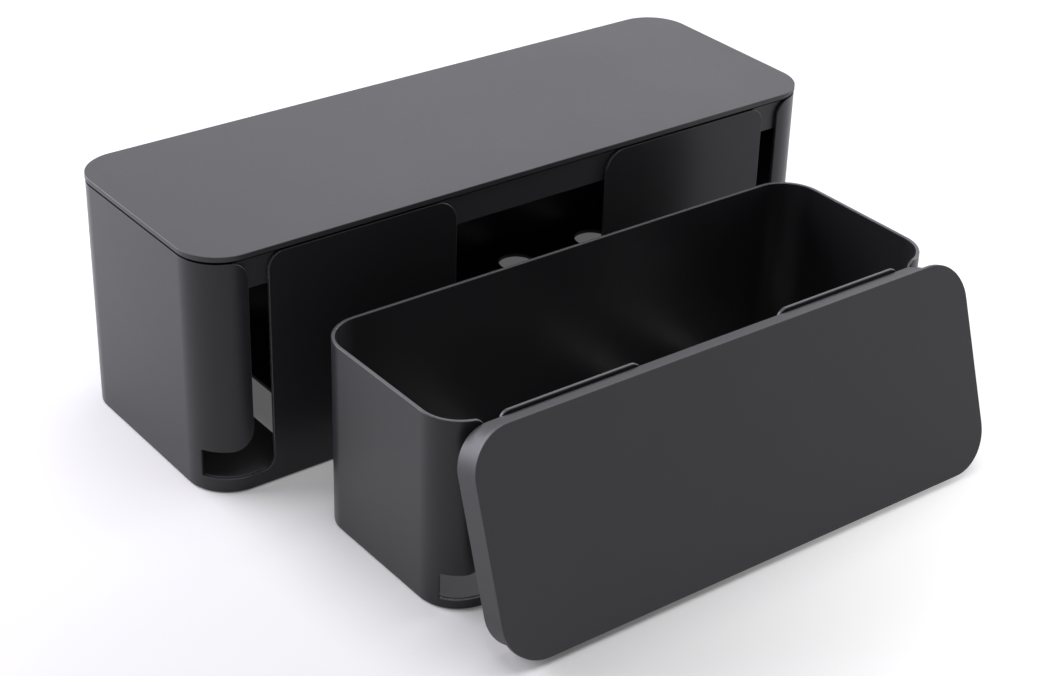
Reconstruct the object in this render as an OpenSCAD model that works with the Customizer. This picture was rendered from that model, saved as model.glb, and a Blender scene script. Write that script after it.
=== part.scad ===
// Set of two cable management boxes, lidded, in moulded plastic.
// The large box stands closed. The small box stands open in front of it,
// and its lid leans against its front wall. Sizes are in millimetres, +Z is up,
// +X runs along the boxes and -Y is the front, where the cable openings are.

/* [Large box] */
// Outer length of the large shell
large_length = 400; // [340:1:460]
// Outer width of the large shell, front to back
large_width = 139; // [120:1:170]
// Height of the large shell's rim above the floor
large_rim_height = 132.3; // [110:0.1:160]
// Outer radius of the large shell's upright corners
large_corner_radius = 24; // [20:0.5:32]
// Height of the large base plate's upper face above the floor
large_base_top = 8.5; // [6:0.1:12]

/* [Large box openings] */
// Distance from the shell's end to the outer edge of the corner slot
large_slot_inset = 25.8; // [24:0.1:32]
// Width of the upright leg of the corner slot
large_slot_width = 11.5; // [8:0.1:16]
// Height of the level leg of the corner slot
large_leg_height = 16; // [10:0.1:22]
// How far the level leg runs round the corner, in degrees from the front wall
large_leg_angle = 66; // [50:1:80]
// Width of the cable opening in the middle of the front wall
large_opening_width = 99; // [70:0.5:130]
// Radius of the front panels' upper corners at the middle opening
large_panel_radius = 13; // [8:0.5:18]
// Radius of the front panels' upper corners at the corner slots
large_panel_slot_radius = 9.5; // [5:0.5:14]
// Radius of the end wall's upper corner at the slot
large_flap_top_radius = 10; // [6:0.5:12]
// Radius of the end wall's lower corner at the slot
large_flap_bottom_radius = 12; // [8:0.5:13]
// Radius of the openings' lower corners
large_floor_radius = 7; // [5:0.5:11]

/* [Large base vents] */
// Distance from the shell's end to the middle of the first vent
large_vent_inset = 64.5; // [55:0.5:75]
// Distance between the middles of two vents
large_vent_pitch = 58.5; // [40:0.5:62]
// Width of each vent
large_vent_width = 22; // [14:0.5:26]
// Distance from the shell's outside to the end of each vent
large_vent_margin = 14; // [12:0.5:25]

/* [Large lid] */
// Height of the large lid from its top face to the skirt's free edge
large_lid_depth = 21; // [14:0.1:26]

/* [Small box] */
// Outer length of the small shell
small_length = 313.5; // [270:0.5:360]
// Outer width of the small shell, front to back
small_width = 114; // [100:0.5:130]
// Height of the small shell's rim above the floor
small_rim_height = 105.5; // [96:0.1:125]
// Outer radius of the small shell's upright corners
small_corner_radius = 22.5; // [18:0.5:28]
// Height of the small base plate's upper face above the floor
small_base_top = 5.6; // [5.4:0.1:10]

/* [Small box openings] */
// Distance from the shell's end to the outer edge of the corner slot
small_slot_inset = 20.5; // [20:0.1:26]
// Width of the upright leg of the corner slot
small_slot_width = 8.8; // [6:0.1:14]
// Height of the level leg of the corner slot
small_leg_height = 14; // [8:0.1:20]
// How far the level leg runs round the corner, in degrees from the front wall
small_leg_angle = 59; // [50:1:75]
// Width of the cable opening in the middle of the front wall
small_opening_width = 88; // [60:0.5:110]
// Radius of the front panels' upper corners at the middle opening
small_panel_radius = 6; // [5:0.5:14]
// Radius of the front panels' upper corners at the corner slots
small_panel_slot_radius = 5; // [4:0.5:12]
// Radius of the end wall's upper corner at the slot
small_flap_top_radius = 5; // [4:0.5:9]
// Radius of the end wall's lower corner at the slot
small_flap_bottom_radius = 8; // [6:0.5:9]
// Radius of the openings' lower corners
small_floor_radius = 5.5; // [4:0.5:8.5]

/* [Small base vents] */
// Distance from the shell's end to the middle of the first vent
small_vent_inset = 52; // [44:0.5:60]
// Distance between the middles of two vents
small_vent_pitch = 52; // [36:0.5:56]
// Width of each vent
small_vent_width = 18; // [12:0.5:22]
// Distance from the shell's outside to the end of each vent
small_vent_margin = 13; // [12:0.5:22]

/* [Small lid] */
// Height of the small lid from its top face to the skirt's free edge
small_lid_depth = 18.7; // [14:0.1:22]

/* [Moulding] */
// Thickness of the shell walls
wall = 2; // [1.6:0.1:3]
// Thickness of the base plates
base_thickness = 2.4; // [1.6:0.1:2.8]
// Width of the ledge inside the shell that carries the base plate
ledge_width = 3; // [2:0.1:6]
// Gap all round the base plate
base_clearance = 0.3; // [0.2:0.05:0.6]
// Height of the shell's lower edge above the floor
shell_floor_gap = 0.5; // [0.3:0.1:1]
// Thickness of the lid's plate
lid_plate_thickness = 2.8; // [2:0.1:4]
// Radius of the lid's upper edge
lid_edge_radius = 0.4; // [0.4:0.1:1.2]
// How far the lid's plate stands out past the shell
lid_overhang = 0.2; // [0.2:0.1:2]
// Height of the shadow groove between lid and shell
groove_height = 1.2; // [0.8:0.1:2]
// Depth of the shadow groove, from the shell's outside
groove_depth = 0.9; // [0.5:0.1:1.4]
// Thickness of the lid's skirt
skirt_thickness = 1.8; // [1.4:0.1:2.6]
// Gap between the lid's skirt and the shell
skirt_clearance = 0.3; // [0.3:0.05:0.6]

/* [Feet] */
// Diameter of each rubber foot
foot_diameter = 13; // [8:0.5:14]
// Height of each rubber foot
foot_height = 2; // [1.6:0.1:2.2]
// Depth that each foot sits in its pad
foot_recess = 0.8; // [0.5:0.1:1]
// Gap round each foot in its pad
foot_clearance = 0.2; // [0.1:0.05:0.4]
// Distance from the shell's outside to the middle of a foot
foot_inset = 15; // [14:0.5:20]
// Rim of pad left round each foot
pad_border = 3; // [2:0.5:5]

/* [Layout] */
// Clear distance between the two boxes
box_gap = 34.7; // [20:0.1:80]
// Sideways offset of the small box from the large one
small_offset = -2.5; // [-10:0.5:10]
// Sideways offset of the leaning lid from the small box
lid_offset = -1.5; // [-10:0.5:10]
// Lean of the small lid from upright, in degrees
lean_angle = 18.6; // [18:0.1:24]
// Least drop from the small shell's rim to the leaning lid's upper edge
lean_drop = 1; // [0.5:0.1:3]
// Gap between the leaning lid and the wall that it leans on
lean_clearance = 0.3; // [0.2:0.05:0.5]

/* [Hidden] */
$fn = 96;
// Angle round a corner where the straight cut hands over to the curved one
HANDOVER = 40;
// How far a cutting shape reaches past the surface that it cuts
PAST = 1;
// Vents on each side of the middle
VENTS_PER_SIDE = 2;

PLASTIC = "#2b2c2e";
PLASTIC_LID = "#3a3b3e";
PLASTIC_BASE = "#232426";
RUBBER = "#151515";

// A box is a list of its own sizes. These functions name its entries.
function box_length(b) = b[0];
function box_width(b) = b[1];
function box_rim(b) = b[2];
function box_corner(b) = b[3];
function box_base_top(b) = b[4];
function slot_inset(b) = b[5];
function slot_width(b) = b[6];
function leg_height(b) = b[7];
function leg_angle(b) = b[8];
function opening_width(b) = b[9];
function panel_radius(b) = b[10];
function flap_top_radius(b) = b[11];
function flap_bottom_radius(b) = b[12];
function floor_radius(b) = b[13];
function vent_inset(b) = b[14];
function vent_pitch(b) = b[15];
function vent_width(b) = b[16];
function vent_margin(b) = b[17];
function lid_depth(b) = b[18];
function panel_slot_radius(b) = b[19];

LARGE = [
    large_length, large_width, large_rim_height, large_corner_radius, large_base_top,
    large_slot_inset, large_slot_width, large_leg_height, large_leg_angle,
    large_opening_width, large_panel_radius, large_flap_top_radius,
    large_flap_bottom_radius, large_floor_radius,
    large_vent_inset, large_vent_pitch, large_vent_width, large_vent_margin, large_lid_depth,
    large_panel_slot_radius
];
SMALL = [
    small_length, small_width, small_rim_height, small_corner_radius, small_base_top,
    small_slot_inset, small_slot_width, small_leg_height, small_leg_angle,
    small_opening_width, small_panel_radius, small_flap_top_radius,
    small_flap_bottom_radius, small_floor_radius,
    small_vent_inset, small_vent_pitch, small_vent_width, small_vent_margin, small_lid_depth,
    small_panel_slot_radius
];

// Insets measured from the shell's outside
skirt_inset = wall + skirt_clearance;
skirt_inner_inset = skirt_inset + skirt_thickness;
base_inset = wall + base_clearance;
pad_bottom = foot_height - foot_recess;
pad_size = foot_inset - wall + foot_diameter / 2 + foot_clearance + pad_border;

// Where the boxes and the leaning lid stand, before the set is centred
small_centre = -(large_width + small_width) / 2 - box_gap;
small_front = small_centre - small_width / 2;
skirt_half_width = small_width / 2 - skirt_inset;
plate_half_width = small_width / 2 + lid_overhang;
lean = max(lean_angle, acos(min(1, (small_rim_height - lean_drop) / (2 * skirt_half_width))));
lean_height = skirt_half_width * cos(lean) + small_lid_depth * sin(lean);
lean_place = small_front - lean_clearance - skirt_half_width * sin(lean) - small_lid_depth * cos(lean);

// The set is centred front to back on its own outline
set_back = large_width / 2 + lid_overhang;
plate_reach = (plate_half_width - lid_edge_radius) * sin(lean) + lid_edge_radius * (1 - cos(lean));
set_front = lean_place - plate_reach;
set_shift = -(set_back + set_front) / 2;

// ---- Plain shapes ----

// Rounded rectangle, centred, inset on all sides
module outline(b, inset = 0) {
    l = box_length(b) - 2 * inset;
    w = box_width(b) - 2 * inset;
    r = box_corner(b) - inset;
    square([l - 2 * r, w], center = true);
    square([l, w - 2 * r], center = true);
    for (x = [-1, 1], y = [-1, 1])
        translate([x * (l / 2 - r), y * (w / 2 - r)]) circle(r);
}

// Upright slab with the box's outline, from z0 to z1
module slab(b, inset, z0, z1) {
    translate([0, 0, z0]) linear_extrude(height = z1 - z0) outline(b, inset);
}

// Ring between two insets of the box's outline, from z0 to z1
module ring(b, outer, inner, z0, z1) {
    difference() {
        slab(b, outer, z0, z1);
        slab(b, inner, z0 - PAST, z1 + PAST);
    }
}

// Rounded edge of radius r that runs round the outline with its middle at height z
module edge_round(b, inset, r, z) {
    l = box_length(b) - 2 * inset;
    w = box_width(b) - 2 * inset;
    c = box_corner(b) - inset;
    translate([0, 0, z]) {
        for (side = [-1, 1]) {
            translate([0, side * (w / 2 - r), 0]) rotate([0, 90, 0])
                cylinder(r = r, h = l - 2 * c, center = true);
            translate([side * (l / 2 - r), 0, 0]) rotate([90, 0, 0])
                cylinder(r = r, h = w - 2 * c, center = true);
        }
        for (x = [-1, 1], y = [-1, 1])
            translate([x * (l / 2 - c), y * (w / 2 - c), 0])
                rotate_extrude() translate([c - r, 0]) circle(r);
    }
}

// Piece cut away beside a rounded corner. The corner lies at the origin, and the
// body that keeps the rounding lies towards +x and +y of it.
module corner_waste(r) {
    difference() {
        translate([-0.01, -0.01]) square(r + 0.01);
        translate([r, r]) circle(r);
    }
}

// ---- Openings of the front wall, drawn with x along the wall and y as height ----

// Upright gap with flared upper corners. The radii are those of the bodies beside it.
module gap_profile(b, x0, x1, left_radius, right_radius) {
    top = box_rim(b);
    translate([x0, box_base_top(b)]) square([x1 - x0, top + PAST - box_base_top(b)]);
    translate([x0, top]) mirror([1, 0]) mirror([0, 1]) corner_waste(left_radius);
    translate([x1, top]) mirror([0, 1]) corner_waste(right_radius);
}

// Cable opening in the middle of the front wall
module opening_profile(b) {
    half = opening_width(b) / 2;
    difference() {
        gap_profile(b, -half, half, panel_radius(b), panel_radius(b));
        translate([-half, box_base_top(b)]) corner_waste(floor_radius(b));
        translate([half, box_base_top(b)]) mirror([1, 0]) corner_waste(floor_radius(b));
    }
}

// L-shaped corner slot at the left end, as far as the straight cut reaches
module slot_profile(b) {
    outer = slot_inset(b) - box_length(b) / 2;
    inner = outer + slot_width(b);
    reach = box_corner(b) - box_length(b) / 2 - box_corner(b) * sin(HANDOVER);
    leg_top = box_base_top(b) + leg_height(b);
    difference() {
        union() {
            gap_profile(b, outer, inner, flap_top_radius(b), panel_slot_radius(b));
            translate([reach, box_base_top(b)]) square([inner - reach, leg_height(b)]);
            translate([outer, leg_top]) mirror([1, 0]) corner_waste(flap_bottom_radius(b));
        }
        translate([inner, box_base_top(b)]) mirror([1, 0]) corner_waste(floor_radius(b));
    }
}

// Cuts a profile straight back through the front wall, to the given depth
module cut_front(b, depth) {
    translate([0, depth - box_width(b) / 2, 0]) rotate([90, 0, 0])
        linear_extrude(height = depth + PAST) children();
}

// Level leg of the left corner slot where it follows the round corner
module leg_round_corner(b) {
    r = box_corner(b);
    from = -90 - HANDOVER + 2;
    to = -90 - leg_angle(b);
    reach = 2 * r;
    translate([r - box_length(b) / 2, r - box_width(b) / 2, box_base_top(b)])
        intersection() {
            difference() {
                cylinder(r = r + PAST, h = leg_height(b));
                translate([0, 0, -PAST]) cylinder(r = r - wall - PAST, h = leg_height(b) + 2 * PAST);
            }
            linear_extrude(height = leg_height(b)) polygon([
                [0, 0],
                [reach * cos(from), reach * sin(from)],
                [reach * cos(to), reach * sin(to)]
            ]);
        }
}

// Whole left corner slot
module corner_slot(b) {
    r = box_corner(b);
    inner = r - wall;
    depth = r - inner * cos(asin(min(1, r * sin(HANDOVER) / inner))) + PAST;
    cut_front(b, depth) slot_profile(b);
    leg_round_corner(b);
}

// ---- Sub-parts of a box, centred on the box ----

// Places something at each corner of a box, at the given inset from its outside
module at_corners(b, inset) {
    for (x = [-1, 1], y = [-1, 1])
        translate([x * (box_length(b) / 2 - inset), y * (box_width(b) / 2 - inset), 0]) children();
}

// Window inside the ledge and the four corner pads
module floor_window(b) {
    difference() {
        outline(b, wall + ledge_width);
        for (x = [-1, 1], y = [-1, 1])
            translate([x * (box_length(b) / 2 - wall - pad_size / 2),
                       y * (box_width(b) / 2 - wall - pad_size / 2)])
                square(pad_size, center = true);
    }
}

// Ledge and corner pads that carry the base plate
module floor_frame(b) {
    height = box_base_top(b) - base_thickness - pad_bottom;
    translate([0, 0, pad_bottom]) difference() {
        linear_extrude(height = height) outline(b, wall / 2);
        translate([0, 0, -PAST]) linear_extrude(height = height + 2 * PAST) floor_window(b);
        at_corners(b, foot_inset)
            translate([0, 0, -PAST])
                cylinder(d = foot_diameter + 2 * foot_clearance, h = foot_recess + PAST);
    }
}

module shell(b) {
    difference() {
        union() {
            ring(b, 0, wall, shell_floor_gap, box_rim(b));
            floor_frame(b);
        }
        cut_front(b, wall + PAST) opening_profile(b);
        corner_slot(b);
        mirror([1, 0, 0]) corner_slot(b);
    }
}

// Stadium-shaped vent, long from front to back
module vent(b) {
    straight = box_width(b) - 2 * vent_margin(b) - vent_width(b);
    square([vent_width(b), straight], center = true);
    for (y = [-1, 1]) translate([0, y * straight / 2]) circle(d = vent_width(b));
}

module base_plate(b) {
    translate([0, 0, box_base_top(b) - base_thickness]) difference() {
        linear_extrude(height = base_thickness) outline(b, base_inset);
        for (side = [-1, 1], i = [0 : VENTS_PER_SIDE - 1])
            translate([side * (box_length(b) / 2 - vent_inset(b) - i * vent_pitch(b)), 0, -PAST])
                linear_extrude(height = base_thickness + 2 * PAST) vent(b);
    }
}

// Lid with its upper face at z = 0
module lid(b) {
    seat = lid_plate_thickness + groove_height;
    slab(b, -lid_overhang, -lid_plate_thickness, -lid_edge_radius);
    slab(b, lid_edge_radius - lid_overhang, -lid_plate_thickness, 0);
    edge_round(b, -lid_overhang, lid_edge_radius, -lid_edge_radius);
    ring(b, groove_depth, skirt_inner_inset, -seat, -lid_plate_thickness);
    ring(b, skirt_inset, skirt_inner_inset, -lid_depth(b), -lid_plate_thickness);
}

module foot(b, x, y) {
    translate([x * (box_length(b) / 2 - foot_inset), y * (box_width(b) / 2 - foot_inset), 0])
        cylinder(d = foot_diameter, h = foot_height);
}

// ---- Places ----

module place_large() {
    translate([0, set_shift, 0]) children();
}

module place_small() {
    translate([small_offset, small_centre + set_shift, 0]) children();
}

module place_leaning() {
    translate([small_offset + lid_offset, lean_place + set_shift, lean_height])
        rotate([90 - lean, 0, 0]) children();
}

// ---- Nodes ----

module large_shell() {
    color(PLASTIC) place_large() shell(LARGE);
}

module large_base_plate() {
    color(PLASTIC_BASE) place_large() base_plate(LARGE);
}

module large_lid() {
    lid_top = large_rim_height + groove_height + lid_plate_thickness;
    color(PLASTIC_LID) place_large() translate([0, 0, lid_top]) lid(LARGE);
}

module large_foot(x, y) {
    color(RUBBER) place_large() foot(LARGE, x, y);
}

module small_shell() {
    color(PLASTIC) place_small() shell(SMALL);
}

module small_base_plate() {
    color(PLASTIC_BASE) place_small() base_plate(SMALL);
}

module small_lid() {
    color(PLASTIC_LID) place_leaning() lid(SMALL);
}

module small_foot(x, y) {
    color(RUBBER) place_small() foot(SMALL, x, y);
}

large_shell();
large_base_plate();
large_lid();
large_foot(-1, -1);  // large_foot_front_left
large_foot(1, -1);  // large_foot_front_right
large_foot(-1, 1);  // large_foot_rear_left
large_foot(1, 1);  // large_foot_rear_right
small_shell();
small_base_plate();
small_lid();
small_foot(-1, -1);  // small_foot_front_left
small_foot(1, -1);  // small_foot_front_right
small_foot(-1, 1);  // small_foot_rear_left
small_foot(1, 1);  // small_foot_rear_right
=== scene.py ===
"""Looks of a set of two lidded cable management boxes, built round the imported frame.

The large box stands closed. The small box stands open in front of it, and its lid leans on
its front wall. Sizes are in metres. +X runs along the boxes, -Y is the front and +Z is up.
"""

import logging
import math
from dataclasses import dataclass
from enum import Enum
from typing import Callable, Iterable, Optional, Union

import bmesh
import bpy
import numpy as np
from mathutils import Matrix, Vector
from mathutils.geometry import tessellate_polygon


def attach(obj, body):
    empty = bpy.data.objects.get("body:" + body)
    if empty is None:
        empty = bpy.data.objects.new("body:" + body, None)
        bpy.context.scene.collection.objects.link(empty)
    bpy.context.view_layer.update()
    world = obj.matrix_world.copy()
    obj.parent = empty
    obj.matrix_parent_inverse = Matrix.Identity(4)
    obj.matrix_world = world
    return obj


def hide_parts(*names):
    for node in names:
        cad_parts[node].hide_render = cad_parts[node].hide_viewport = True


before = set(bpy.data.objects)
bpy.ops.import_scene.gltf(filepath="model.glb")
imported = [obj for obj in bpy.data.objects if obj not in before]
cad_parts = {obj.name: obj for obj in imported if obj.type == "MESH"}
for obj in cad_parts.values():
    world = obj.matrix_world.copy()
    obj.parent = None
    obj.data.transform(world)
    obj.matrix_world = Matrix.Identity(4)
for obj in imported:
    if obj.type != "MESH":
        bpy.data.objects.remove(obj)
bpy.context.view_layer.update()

LOG = logging.getLogger("cable_boxes")
MM = 0.001
# Point weights: the edge weight drives wear and a painted highlight, the cavity weight marks
# painted shade in grooves
EDGE_LAYER = "edge"
PAINTED_SHADE_LAYER = "painted_shade"
MERGE = 1e-7

# Steps of a box's corner, an opening's corner, a rounded edge, a circle and a bevel
CORNER_STEPS, ARC_STEPS, ROUND_STEPS, CIRCLE_STEPS, BEVEL_STEPS = 24, 10, 4, 48, 3
BEVEL_ANGLE = math.radians(50)

# A vent's end radius as a share of its width, just short of the half where two arcs would meet
VENT_END = 0.4999
# Depth and middle of a foot's disc, as shares of the foot's height
FOOT_DISC_DEPTH, FOOT_DISC_MIDDLE = 0.6, 0.65

Ring = list[tuple[float, float]]
Outline = Callable[[float], Ring]


class Slot(Enum):
    """Material slots of the record."""

    SHELL = "shell_plastic"
    LID = "lid_plastic"
    BASE = "base_plastic"
    FOOT = "foot_rubber"


# ---------------------------------------------------------------------------
# Outlines
# ---------------------------------------------------------------------------


@dataclass(frozen=True)
class Footprint:
    """Rounded rectangle that a box covers, centred on the box.

    Attributes:
        length: Size along X.
        width: Size along Y.
        corner: Radius of the upright corners.
    """

    length: float
    width: float
    corner: float

    @property
    def straight(self) -> float:
        """Half of the straight part of the front wall."""
        return self.length / 2 - self.corner

    @property
    def side(self) -> float:
        """Straight part of an end wall."""
        return self.width - 2 * self.corner

    @property
    def arc(self) -> float:
        """Length of one corner, measured on the outside."""
        return math.pi / 2 * self.corner

    @property
    def seam(self) -> float:
        """Distance along the wall from the middle of the front to the middle of the back."""
        return 2 * self.straight + self.side + 2 * self.arc

    def ring(self, inset: float) -> Ring:
        """Gives the outline, inset on all sides.

        Args:
            inset: Distance from the outside, negative for an overhang.

        Returns:
            Points in anticlockwise order.
        """
        half_x = self.length / 2 - self.corner
        half_y = self.width / 2 - self.corner
        radius = self.corner - inset
        points: Ring = []
        for turn, (sx, sy) in enumerate(((1, -1), (1, 1), (-1, 1), (-1, -1))):
            for step in range(CORNER_STEPS + 1):
                angle = math.radians(90 * (turn - 1) + 90 * step / CORNER_STEPS)
                x = sx * half_x + radius * math.cos(angle)
                y = sy * half_y + radius * math.sin(angle)
                points.append((x, y))
        return points

    def along(self, x: float) -> float:
        """Turns a place on the front wall into a distance along the wall.

        Args:
            x: Distance from the middle, along X, not past the end.

        Returns:
            The distance along the outside of the wall.
        """
        if x <= self.straight:
            return x
        return self.straight + self.corner * math.asin((x - self.straight) / self.corner)

    def bend(self, distance: float) -> tuple[Vector, Vector]:
        """Finds a place on the outside of the wall.

        Args:
            distance: Distance along the wall from the middle of the front, positive to the right.

        Returns:
            The place and the outward direction, both level.
        """
        sign = -1.0 if distance < 0 else 1.0
        rest = abs(distance)
        half_y = self.width / 2 - self.corner
        if rest <= self.straight:
            place, out = (rest, -self.width / 2), (0.0, -1.0)
        elif rest <= self.straight + self.arc:
            angle = (rest - self.straight) / self.corner
            out = (math.sin(angle), -math.cos(angle))
            place = (self.straight + self.corner * out[0], -half_y + self.corner * out[1])
        elif rest <= self.straight + self.arc + self.side:
            place, out = (self.length / 2, rest - self.straight - self.arc - half_y), (1.0, 0.0)
        elif rest <= self.straight + 2 * self.arc + self.side:
            angle = (rest - self.straight - self.arc - self.side) / self.corner
            out = (math.cos(angle), math.sin(angle))
            place = (self.straight + self.corner * out[0], half_y + self.corner * out[1])
        else:
            place, out = (self.seam - rest, self.width / 2), (0.0, 1.0)
        return Vector((sign * place[0], place[1], 0)), Vector((sign * out[0], out[1], 0))

    def folds(self) -> list[float]:
        """Distances along the wall at which the sheet is creased to bend round the corners."""
        starts = (self.straight, self.straight + self.arc + self.side)
        turns = [self.arc * step / CORNER_STEPS for step in range(CORNER_STEPS + 1)]
        right = [start + turn for start in starts for turn in turns]
        return sorted([*right, *(-fold for fold in right)])


@dataclass(frozen=True)
class Corner:
    """Corner of an outline whose sides run along the two axes.

    Attributes:
        x: First coordinate of the sharp corner.
        y: Second coordinate of the sharp corner.
        radius: Rounding of the corner, 0 for a sharp one.
        free: False where the outline ends at a seam and isn't inset sideways.
    """

    x: float
    y: float
    radius: float = 0.0
    free: bool = True


def square_outline(corners: list[Corner], inset: float) -> Ring:
    """Traces an anticlockwise outline with rounded corners, inset towards its body.

    Args:
        corners: The sharp corners in order.
        inset: Distance by which every side moves towards the body.

    Returns:
        The points, the same number for every inset.
    """
    points: Ring = []
    for index, corner in enumerate(corners):
        here = Vector((corner.x, corner.y))
        before, after = corners[index - 1], corners[(index + 1) % len(corners)]
        come = (here - Vector((before.x, before.y))).normalized()
        leave = (Vector((after.x, after.y)) - here).normalized()
        left_come, left_leave = Vector((-come.y, come.x)), Vector((-leave.y, leave.x))
        moved = here + inset * (left_come + left_leave)
        if not corner.free:
            moved.x = here.x
        if corner.radius == 0:
            points.append(tuple(moved))
            continue
        convex = come.cross(leave) > 0
        radius = corner.radius - inset if convex else corner.radius + inset
        toward = 1 if convex else -1
        centre = moved + toward * radius * (left_come + left_leave)
        for step in range(ARC_STEPS + 1):
            angle = math.pi / 2 * step / ARC_STEPS
            spoke = math.cos(angle) * left_come + math.sin(angle) * left_leave
            points.append(tuple(centre - toward * radius * spoke))
    return points


def circle_outline(x: float, y: float, radius: float) -> Outline:
    """Makes the outline of a round hole, which grows as its plate is inset.

    Args:
        x: Middle of the hole along X.
        y: Middle of the hole along Y.
        radius: Radius of the hole.

    Returns:
        A function from an inset to the points.
    """

    def ring(inset: float) -> Ring:
        """Gives the hole's points for an inset."""
        grown = radius + inset
        turns = (2 * math.pi * step / CIRCLE_STEPS for step in range(CIRCLE_STEPS))
        return [(x + grown * math.cos(turn), y + grown * math.sin(turn)) for turn in turns]

    return ring


def edge_steps(rounding: float, depth: float) -> list[tuple[float, float, float]]:
    """Lists the steps from one face of a sheet over its rounded edge to the other face.

    Args:
        rounding: Radius of both edges.
        depth: Thickness of the sheet.

    Returns:
        Inset, depth and an edge weight that is 0 on the faces and 1 between them.
    """
    quarter = [math.pi / 2 * step / ROUND_STEPS for step in range(ROUND_STEPS + 1)]
    first = [
        (rounding * (1 - math.sin(angle)), rounding * (1 - math.cos(angle)), math.sin(angle))
        for angle in quarter
    ]
    second = [(inset, depth - down, weight) for inset, down, weight in reversed(first)]
    return first + second


# ---------------------------------------------------------------------------
# Meshes
# ---------------------------------------------------------------------------


def put_in_scene(name: str, data: bpy.types.ID) -> bpy.types.Object:
    """Makes an object of its data and links it to the scene."""
    item = bpy.data.objects.new(name, data)
    bpy.context.scene.collection.objects.link(item)
    return item


class Builder:
    """Collects the faces of one closed piece and makes an object of them."""

    def __init__(self) -> None:
        """Starts an empty mesh that carries an edge weight and a painted-shade weight on its
        points.
        """
        self.mesh = bmesh.new()
        self.mesh.verts.layers.float.new(EDGE_LAYER)
        self.mesh.verts.layers.float.new(PAINTED_SHADE_LAYER)
        self.edge = self.mesh.verts.layers.float[EDGE_LAYER]
        self.painted_shade = self.mesh.verts.layers.float[PAINTED_SHADE_LAYER]

    def loop(
        self,
        points: Iterable[tuple[float, float, float]],
        weight: float = 0.0,
        painted_shade: float = 0.0,
    ) -> list:
        """Adds a row of points.

        Args:
            points: Their places.
            weight: Their edge weight.
            painted_shade: Their weight of painted shade, 1 deep in a groove.

        Returns:
            The new vertices.
        """
        verts = []
        for place in points:
            vert = self.mesh.verts.new(place)
            vert[self.edge], vert[self.painted_shade] = weight, painted_shade
            verts.append(vert)
        return verts

    def bridge(self, first: list, second: list, skip: Iterable[int] = ()) -> None:
        """Joins two closed rows of as many points with quads.

        Args:
            first: One row.
            second: The other row.
            skip: Places in the row whose quad is left out.
        """
        count = len(first)
        left_out = set(skip)
        for index in range(count):
            if index in left_out:
                continue
            after = (index + 1) % count
            self.mesh.faces.new((first[index], first[after], second[after], second[index]))

    def cap(self, rings: list[list], flip: bool) -> None:
        """Fills an outline and its holes with triangles.

        Args:
            rings: The outer row of vertices, then a row for each hole.
            flip: True where the face looks the other way round.
        """
        verts = [vert for ring in rings for vert in ring]
        for triangle in tessellate_polygon([[vert.co for vert in ring] for ring in rings]):
            a, b, c = (verts[index] for index in triangle)
            normal = (b.co - a.co).cross(c.co - a.co)
            if (normal.z < 0) != flip:
                b, c = c, b
            self.mesh.faces.new((a, b, c))

    def finish(self, name: str, place: Optional[Matrix] = None) -> bpy.types.Object:
        """Makes the object, with its place in its mesh.

        Args:
            name: Name of the piece.
            place: Where the piece goes in the frame.

        Returns:
            The object, smooth shaded.
        """
        bmesh.ops.remove_doubles(self.mesh, verts=self.mesh.verts, dist=MERGE)
        if place is not None:
            self.mesh.transform(place)
        data = bpy.data.meshes.new(name)
        self.mesh.to_mesh(data)
        self.mesh.free()
        piece = put_in_scene(name, data)
        smooth_by_area(data)
        return piece


def mark_edges(data: bpy.types.Mesh) -> None:
    """Writes the edge weight of a plate whose edges are bevelled, from how its points tilt; the
    weight drives wear and a painted highlight.

    Args:
        data: The mesh, still level.
    """
    weight = data.attributes.new(EDGE_LAYER, "FLOAT", "POINT")
    rise = np.array([normal.vector.z for normal in data.vertex_normals])
    weight.data.foreach_set("value", 2 * np.abs(rise) * np.sqrt(np.clip(1 - rise**2, 0, 1)))


def smooth_by_area(data: bpy.types.Mesh) -> None:
    """Shades a mesh smooth with normals weighted by area, so that flat faces stay flat.

    Args:
        data: The mesh, whose edges are all rounded.
    """
    normals = np.zeros((len(data.vertices), 3))
    for polygon in data.polygons:
        normals[list(polygon.vertices)] += np.array(polygon.normal) * polygon.area
    lengths = np.linalg.norm(normals, axis=1, keepdims=True)
    lengths[lengths == 0] = 1
    data.shade_smooth()
    data.normals_split_custom_set_from_vertices((normals / lengths).tolist())


@dataclass(frozen=True)
class Plate:
    """Flat plate with rounded edges, through holes and blind pockets in its underside.

    Attributes:
        outline: Outer outline for each inset.
        low: Height of the underside.
        high: Height of the upper face.
        rounding: Radius of the edges.
        holes: Outlines of the through holes.
        pockets: Outlines of the pockets.
        pocket_top: Height of the pockets' ceilings.
    """

    outline: Outline
    low: float
    high: float
    rounding: float
    holes: tuple[Outline, ...] = ()
    pockets: tuple[Outline, ...] = ()
    pocket_top: float = 0.0

    def add_to(self, builder: Builder) -> None:
        """Adds the plate to a piece as a closed body."""
        tops, bottoms = [], []
        steps = edge_steps(self.rounding, self.high - self.low)
        for index, outline in enumerate((self.outline, *self.holes)):
            rows = [
                builder.loop([(x, y, self.high - depth) for x, y in outline(inset)], weight)
                for inset, depth, weight in steps
            ]
            for upper, lower in zip(rows, rows[1:]):
                if index == 0:
                    builder.bridge(lower, upper)
                else:
                    builder.bridge(upper, lower)
            tops.append(rows[0])
            bottoms.append(rows[-1])
        for outline in self.pockets:
            mouth = builder.loop([(x, y, self.low) for x, y in outline(0)])
            ceiling = builder.loop([(x, y, self.pocket_top) for x, y in outline(0)])
            builder.bridge(ceiling, mouth)
            builder.cap([ceiling], flip=True)
            bottoms.append(mouth)
        builder.cap(tops, flip=False)
        builder.cap(bottoms, flip=True)


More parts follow.
